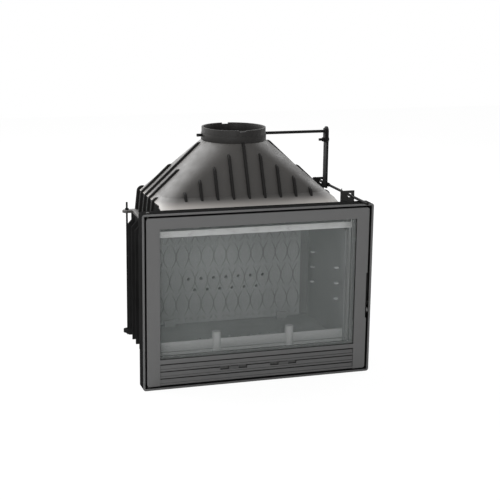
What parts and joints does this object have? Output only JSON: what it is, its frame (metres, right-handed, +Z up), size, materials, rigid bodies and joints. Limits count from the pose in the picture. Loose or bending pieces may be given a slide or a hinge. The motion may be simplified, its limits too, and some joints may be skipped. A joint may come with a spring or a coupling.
{
  "type": "fireplace insert",
  "caption": "Cast-iron fireplace insert: a framed glass door over a louvred air band, a finned firebox, and a ribbed smoke hood with a flue collar and a rod-worked damper.",
  "frame": {"origin": "bottom centre of the bounding box", "axes": "+Z up, front (door) faces -Y, +X to the viewer's right"},
  "size_m": [0.7, 0.443, 0.72],
  "materials": {
    "painted_iron": "satin dark grey heat-proof paint",
    "raw_iron": "matt black-leaded casting",
    "dark_steel": "black steel",
    "bright_steel": "plain zinc-grey steel",
    "glass": "clear heat-proof glass",
    "rope": "woven heat-proof rope and tape"
  },
  "bodies": {
    "stove": {"casing_flange": "painted_iron", "hinge_pin_top": "bright_steel", "hinge_pin_bottom": "bright_steel", "catch_stud": "bright_steel", "left_side_plate": "raw_iron", "right_side_plate": "raw_iron", "rear_plate": "raw_iron", "base_plate": "raw_iron", "front_bolts": "bright_steel", "tie_rods": "bright_steel", "tie_nuts": "bright_steel", "hood": "raw_iron", "flue_collar": "raw_iron", "rod_bracket_rear": "dark_steel", "rod_bracket_front": "bright_steel", "bracket_screws": "bright_steel", "fireback": "raw_iron", "lining_left": "raw_iron", "lining_right": "raw_iron", "smoke_baffle": "raw_iron", "air_wash_strip": "bright_steel", "hearth_plate": "raw_iron", "log_fence": "raw_iron", "fence_post_left": "raw_iron", "fence_post_right": "raw_iron", "air_box": "dark_steel"},
    "door": {"door_frame": "painted_iron", "door_glass": "glass", "glass_gasket": "rope", "glass_clips": "bright_steel", "clip_screws": "bright_steel", "door_seal": "rope", "louvre_panel": "painted_iron", "air_plate": "dark_steel", "latch_pin": "bright_steel"},
    "latch": {"latch_lever": "dark_steel"},
    "air_slide_left": {"air_slide_left": "bright_steel"},
    "air_slide_right": {"air_slide_right": "bright_steel"},
    "damper": {"damper_flap": "raw_iron", "flap_screws": "bright_steel", "damper_shaft": "dark_steel", "damper_lever": "dark_steel", "lever_clamp": "dark_steel", "lever_bolt": "dark_steel", "lever_nut": "dark_steel"},
    "control_rod": {"control_rod": "dark_steel", "rod_stop_pin": "bright_steel", "rod_collar": "dark_steel"}
  },
  "joints": [
    {"name": "door_hinge", "type": "hinge", "parent": "stove", "child": "door", "pos_m": [-0.332, -0.1755, 0.26], "axis": [0, 0, -1], "range_deg": [0, 105]},
    {"name": "latch_turn", "type": "hinge", "parent": "door", "child": "latch", "pos_m": [0.338, -0.1715, 0.216], "axis": [1, 0, 0], "range_deg": [0, 80]},
    {"name": "air_slide_left_shift", "type": "slide", "parent": "door", "child": "air_slide_left", "axis": [1, 0, 0], "range_m": [-0.024, 0.024]},
    {"name": "air_slide_right_shift", "type": "slide", "parent": "door", "child": "air_slide_right", "axis": [1, 0, 0], "range_m": [-0.024, 0.024]},
    {"name": "damper_turn", "type": "hinge", "parent": "stove", "child": "damper", "pos_m": [0, 0.1015, 0.697], "axis": [-1, 0, 0], "range_deg": [-10, 20]},
    {"name": "rod_slide", "type": "slide", "parent": "stove", "child": "control_rod", "axis": [0, -1, 0], "range_m": [-0.03, 0.06]}
  ],
  "couplings": [
    {"joint": "rod_slide", "follows": "damper_turn", "m_per_rad": 0.17}
  ]
}
